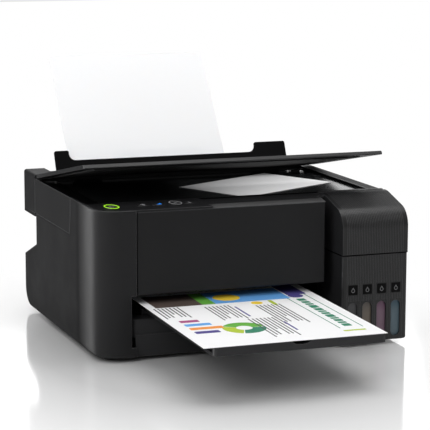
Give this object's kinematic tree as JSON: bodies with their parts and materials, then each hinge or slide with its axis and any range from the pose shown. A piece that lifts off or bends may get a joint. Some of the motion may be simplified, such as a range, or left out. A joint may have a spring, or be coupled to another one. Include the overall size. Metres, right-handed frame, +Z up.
{
  "type": "ink tank printer",
  "caption": "All-in-one inkjet printer with refillable ink tanks at the front right, a rear paper feeder, a lid-covered flatbed scanner and a pull-out output tray.",
  "frame": {"origin": "middle of the case's footprint on the surface it stands on", "axes": "+X right towards the ink tanks, +Y to the rear, +Z up"},
  "size_m": [0.375, 0.5942, 0.3167],
  "materials": {
    "case_black": "fine grain",
    "panel_black": "fine grain",
    "ribbed_black": "fine vertical ribs",
    "key_black": "satin",
    "inner_black": "plain",
    "rubber": "matte",
    "steel": "brushed",
    "gear_white": "plain",
    "glass": "clear",
    "mat_white": "foam",
    "paper": "plain paper",
    "ink_black": "translucent",
    "ink_yellow": "translucent",
    "ink_magenta": "translucent",
    "ink_cyan": "translucent",
    "tube_clear": "clear tube",
    "felt": "felt",
    "board_green": "solder mask"
  },
  "bodies": {
    "case": {"base_tray": "inner_black", "left_housing": "case_black", "right_housing": "case_black", "rear_cover": "case_black", "port_panel": "case_black", "rear_housing": "case_black", "front_panel": "panel_black", "control_panel": "panel_black", "tank_housing": "ribbed_black", "ink_tank_black": "ink_black", "ink_tank_yellow": "ink_yellow", "ink_tank_magenta": "ink_magenta", "ink_tank_cyan": "ink_cyan", "ink_tubes": "tube_clear", "rubber_feet": "rubber", "case_screws": "steel", "ac_inlet": "inner_black", "usb_port": "steel", "power_supply": "inner_black", "main_board": "board_green", "waste_ink_pad": "felt", "main_frame": "steel", "guide_rod": "steel", "timing_belt": "rubber", "drive_motors": "steel", "platen": "inner_black", "paper_guide": "inner_black", "capping_station": "inner_black"},
    "scanner": {"scanner_unit": "case_black", "scanner_glass": "glass", "scan_rail": "steel", "original_sheet": "paper"},
    "sensor": {"scan_carriage": "inner_black"},
    "lid": {"document_lid": "case_black", "lid_mat": "mat_white"},
    "guard": {"feeder_guard": "case_black"},
    "support": {"paper_support": "case_black"},
    "edge": {"edge_guide": "case_black"},
    "cover": {"tank_cover": "ribbed_black"},
    "carriage": {"print_carriage": "inner_black", "print_head": "steel"},
    "drive_wheel": {"drive_pulley": "gear_white"},
    "free_wheel": {"idler_pulley": "gear_white"},
    "feed": {"feed_roller": "rubber"},
    "pinion": {"motor_pinion": "gear_white"},
    "idler": {"idler_gear": "gear_white"},
    "exit": {"exit_roller": "rubber"},
    "pickup": {"pickup_roller": "rubber"},
    "tray": {"output_tray": "case_black"},
    "loaded": {"blank_sheet": "paper"},
    "page": {"printed_page": "paper"},
    "cap_black": {"filler_cap_black": "ink_black"},
    "cap_yellow": {"filler_cap_yellow": "ink_yellow"},
    "cap_magenta": {"filler_cap_magenta": "ink_magenta"},
    "cap_cyan": {"filler_cap_cyan": "ink_cyan"},
    "key_power": {"power_button": "key_black"},
    "key_wireless": {"wireless_button": "key_black"},
    "key_network": {"network_button": "key_black"},
    "key_copy": {"copy_button": "key_black"},
    "key_stop": {"stop_button": "key_black"}
  },
  "joints": [
    {"name": "scanner_lift", "type": "hinge", "parent": "case", "child": "scanner", "pos_m": [0, 0.1215, 0.1752], "axis": [-1, 0, 0], "range_deg": [0, 35]},
    {"name": "lid_hinge", "type": "hinge", "parent": "scanner", "child": "lid", "pos_m": [0, 0.114, 0.1774], "axis": [-1, 0, 0], "range_deg": [-10.9, 60]},
    {"name": "scan_travel", "type": "slide", "parent": "scanner", "child": "sensor", "axis": [1, 0, 0], "range_m": [0, 0.288]},
    {"name": "tank_cover_hinge", "type": "hinge", "parent": "case", "child": "cover", "pos_m": [0, -0.1073, 0.1705], "axis": [-1, 0, 0], "range_deg": [0, 60]},
    {"name": "tray_slide", "type": "slide", "parent": "case", "child": "tray", "axis": [0, -1, 0], "range_m": [-0.205, 0]},
    {"name": "page_exit", "type": "slide", "parent": "case", "child": "page", "axis": [0, -0.9999, -0.0166], "range_m": [0, 0.12]},
    {"name": "sheet_lift", "type": "slide", "parent": "case", "child": "loaded", "axis": [0, 0.5878, 0.809], "range_m": [0, 0.15]},
    {"name": "support_slide", "type": "slide", "parent": "case", "child": "support", "axis": [0, 0.5878, 0.809], "range_m": [0, 0.07]},
    {"name": "guard_hinge", "type": "hinge", "parent": "case", "child": "guard", "pos_m": [0, 0.126, 0.1755], "axis": [-1, 0, 0], "range_deg": [-40, 0]},
    {"name": "edge_slide", "type": "slide", "parent": "case", "child": "edge", "axis": [1, 0, 0], "range_m": [0, 0.065]},
    {"name": "carriage_travel", "type": "slide", "parent": "case", "child": "carriage", "axis": [-1, 0, 0], "range_m": [0, 0.225]},
    {"name": "drive_turn", "type": "hinge", "parent": "case", "child": "drive_wheel", "pos_m": [0.146, 0.002, 0.104], "axis": [0, 1, 0], "continuous": true},
    {"name": "free_turn", "type": "hinge", "parent": "case", "child": "free_wheel", "pos_m": [-0.146, 0.002, 0.104], "axis": [0, 1, 0], "continuous": true},
    {"name": "feed_turn", "type": "hinge", "parent": "case", "child": "feed", "pos_m": [0, 0.003, 0.0611], "axis": [1, 0, 0], "continuous": true},
    {"name": "pinion_turn", "type": "hinge", "parent": "case", "child": "pinion", "pos_m": [0, 0.02617, 0.0493], "axis": [1, 0, 0], "continuous": true},
    {"name": "idler_turn", "type": "hinge", "parent": "case", "child": "idler", "pos_m": [0, -0.0385, 0.0611], "axis": [1, 0, 0], "continuous": true},
    {"name": "exit_turn", "type": "hinge", "parent": "case", "child": "exit", "pos_m": [0, -0.072, 0.0611], "axis": [1, 0, 0], "continuous": true},
    {"name": "pickup_turn", "type": "hinge", "parent": "case", "child": "pickup", "pos_m": [0, 0.05513, 0.10204], "axis": [1, 0, 0], "continuous": true},
    {"name": "cap_hinge_black", "type": "hinge", "parent": "case", "child": "cap_black", "pos_m": [0.1176, -0.1177, 0.114], "axis": [-1, 0, 0], "range_deg": [0, 80]},
    {"name": "cap_hinge_yellow", "type": "hinge", "parent": "case", "child": "cap_yellow", "pos_m": [0.136, -0.1177, 0.114], "axis": [-1, 0, 0], "range_deg": [0, 80]},
    {"name": "cap_hinge_magenta", "type": "hinge", "parent": "case", "child": "cap_magenta", "pos_m": [0.1544, -0.1177, 0.114], "axis": [-1, 0, 0], "range_deg": [0, 80]},
    {"name": "cap_hinge_cyan", "type": "hinge", "parent": "case", "child": "cap_cyan", "pos_m": [0.1728, -0.1177, 0.114], "axis": [-1, 0, 0], "range_deg": [0, 80]},
    {"name": "press_power", "type": "slide", "parent": "case", "child": "key_power", "axis": [0, 0, -1], "range_m": [0, 0.0008], "stiffness_N_per_m": 400},
    {"name": "press_wireless", "type": "slide", "parent": "case", "child": "key_wireless", "axis": [0, 0, -1], "range_m": [0, 0.0008], "stiffness_N_per_m": 400},
    {"name": "press_network", "type": "slide", "parent": "case", "child": "key_network", "axis": [0, 0, -1], "range_m": [0, 0.0008], "stiffness_N_per_m": 400},
    {"name": "press_copy", "type": "slide", "parent": "case", "child": "key_copy", "axis": [0, 0, -1], "range_m": [0, 0.0008], "stiffness_N_per_m": 400},
    {"name": "press_stop", "type": "slide", "parent": "case", "child": "key_stop", "axis": [0, 0, -1], "range_m": [0, 0.0008], "stiffness_N_per_m": 400}
  ],
  "couplings": [
    {"joint": "pinion_turn", "follows": "feed_turn", "ratio": -3.3333},
    {"joint": "idler_turn", "follows": "feed_turn", "ratio": -0.93023},
    {"joint": "exit_turn", "follows": "feed_turn", "ratio": 1.6667},
    {"joint": "drive_turn", "follows": "carriage_travel", "rad_per_m": 190.11},
    {"joint": "free_turn", "follows": "carriage_travel", "rad_per_m": 190.11}
  ]
}
